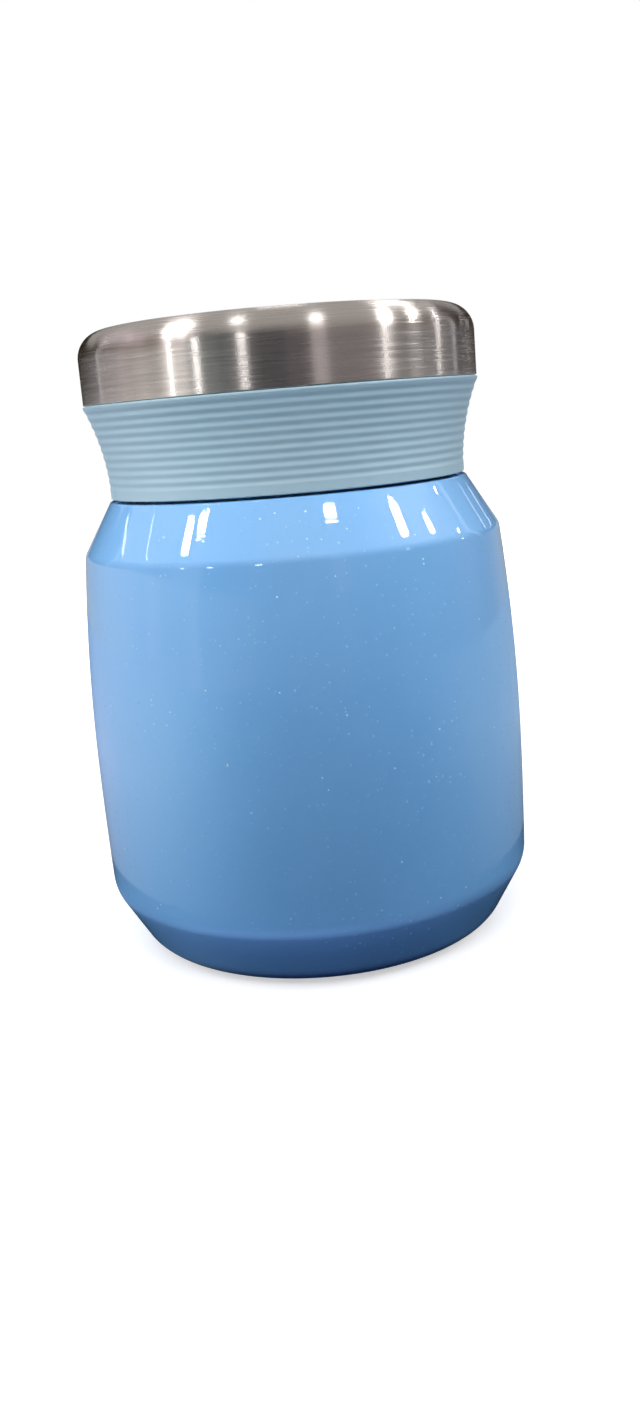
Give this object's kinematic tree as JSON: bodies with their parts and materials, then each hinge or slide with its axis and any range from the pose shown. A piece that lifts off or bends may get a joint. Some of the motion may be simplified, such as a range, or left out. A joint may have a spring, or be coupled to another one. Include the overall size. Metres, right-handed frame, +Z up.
{
  "type": "insulated food jar",
  "caption": "Vacuum food jar with a barrelled painted shell, wide mouth, vented inner lid, and a screw lid with a ribbed flared collar and a brushed steel cap.",
  "frame": {"origin": "centre of the foot, on the surface that the jar stands on", "axes": "+Z up along the jar's axis; -Y is the side seen in front; the thread ridges repeat every 90 degrees about +Z"},
  "size_m": [0.1, 0.1, 0.1413],
  "materials": {
    "shell_paint": "glossy light blue paint with fine glitter",
    "inner_steel": "satin drawn stainless steel",
    "copper_foil": "bright foil",
    "getter_metal": "sintered, dull",
    "base_steel": "satin pressed steel",
    "seal_glass": "dark solder glass",
    "inner_lid_plastic": "fine matte",
    "foam": "closed-cell foam",
    "silicone": "soft translucent white",
    "valve_plastic": "satin",
    "lid_plastic": "fine matte",
    "collar_plastic": "matte pale blue-grey",
    "cap_steel": "circular brushed stainless steel"
  },
  "bodies": {
    "jar": {"outer_shell": "shell_paint", "inner_vessel": "inner_steel", "reflective_foil": "copper_foil", "getter": "getter_metal", "outer_base": "base_steel", "vacuum_seal": "seal_glass", "base_cover": "base_steel"},
    "inner_lid": {"inner_lid_base": "inner_lid_plastic", "inner_lid_foam": "foam", "inner_lid_cover": "inner_lid_plastic", "inner_lid_gasket": "silicone"},
    "vent_valve": {"valve_stem": "valve_plastic", "valve_seal": "silicone", "valve_knob": "valve_plastic", "valve_clip": "valve_plastic"},
    "lid": {"thread_sleeve": "lid_plastic", "grip_collar": "collar_plastic", "cap_shell": "cap_steel", "lid_ceiling": "lid_plastic", "lid_foam": "foam", "catch_ring": "lid_plastic"}
  },
  "joints": [
    {"name": "lid_lift", "type": "slide", "parent": "jar", "child": "inner_lid", "axis": [0, 0, 1], "range_m": [0, 0.08]},
    {"name": "lid_turn", "type": "hinge", "parent": "inner_lid", "child": "lid", "pos_m": [0, 0, 0.1136], "axis": [0, 0, 1], "range_deg": [0, 60]},
    {"name": "vent_lift", "type": "slide", "parent": "inner_lid", "child": "vent_valve", "axis": [0, 0, 1], "range_m": [0, 0.003]}
  ]
}
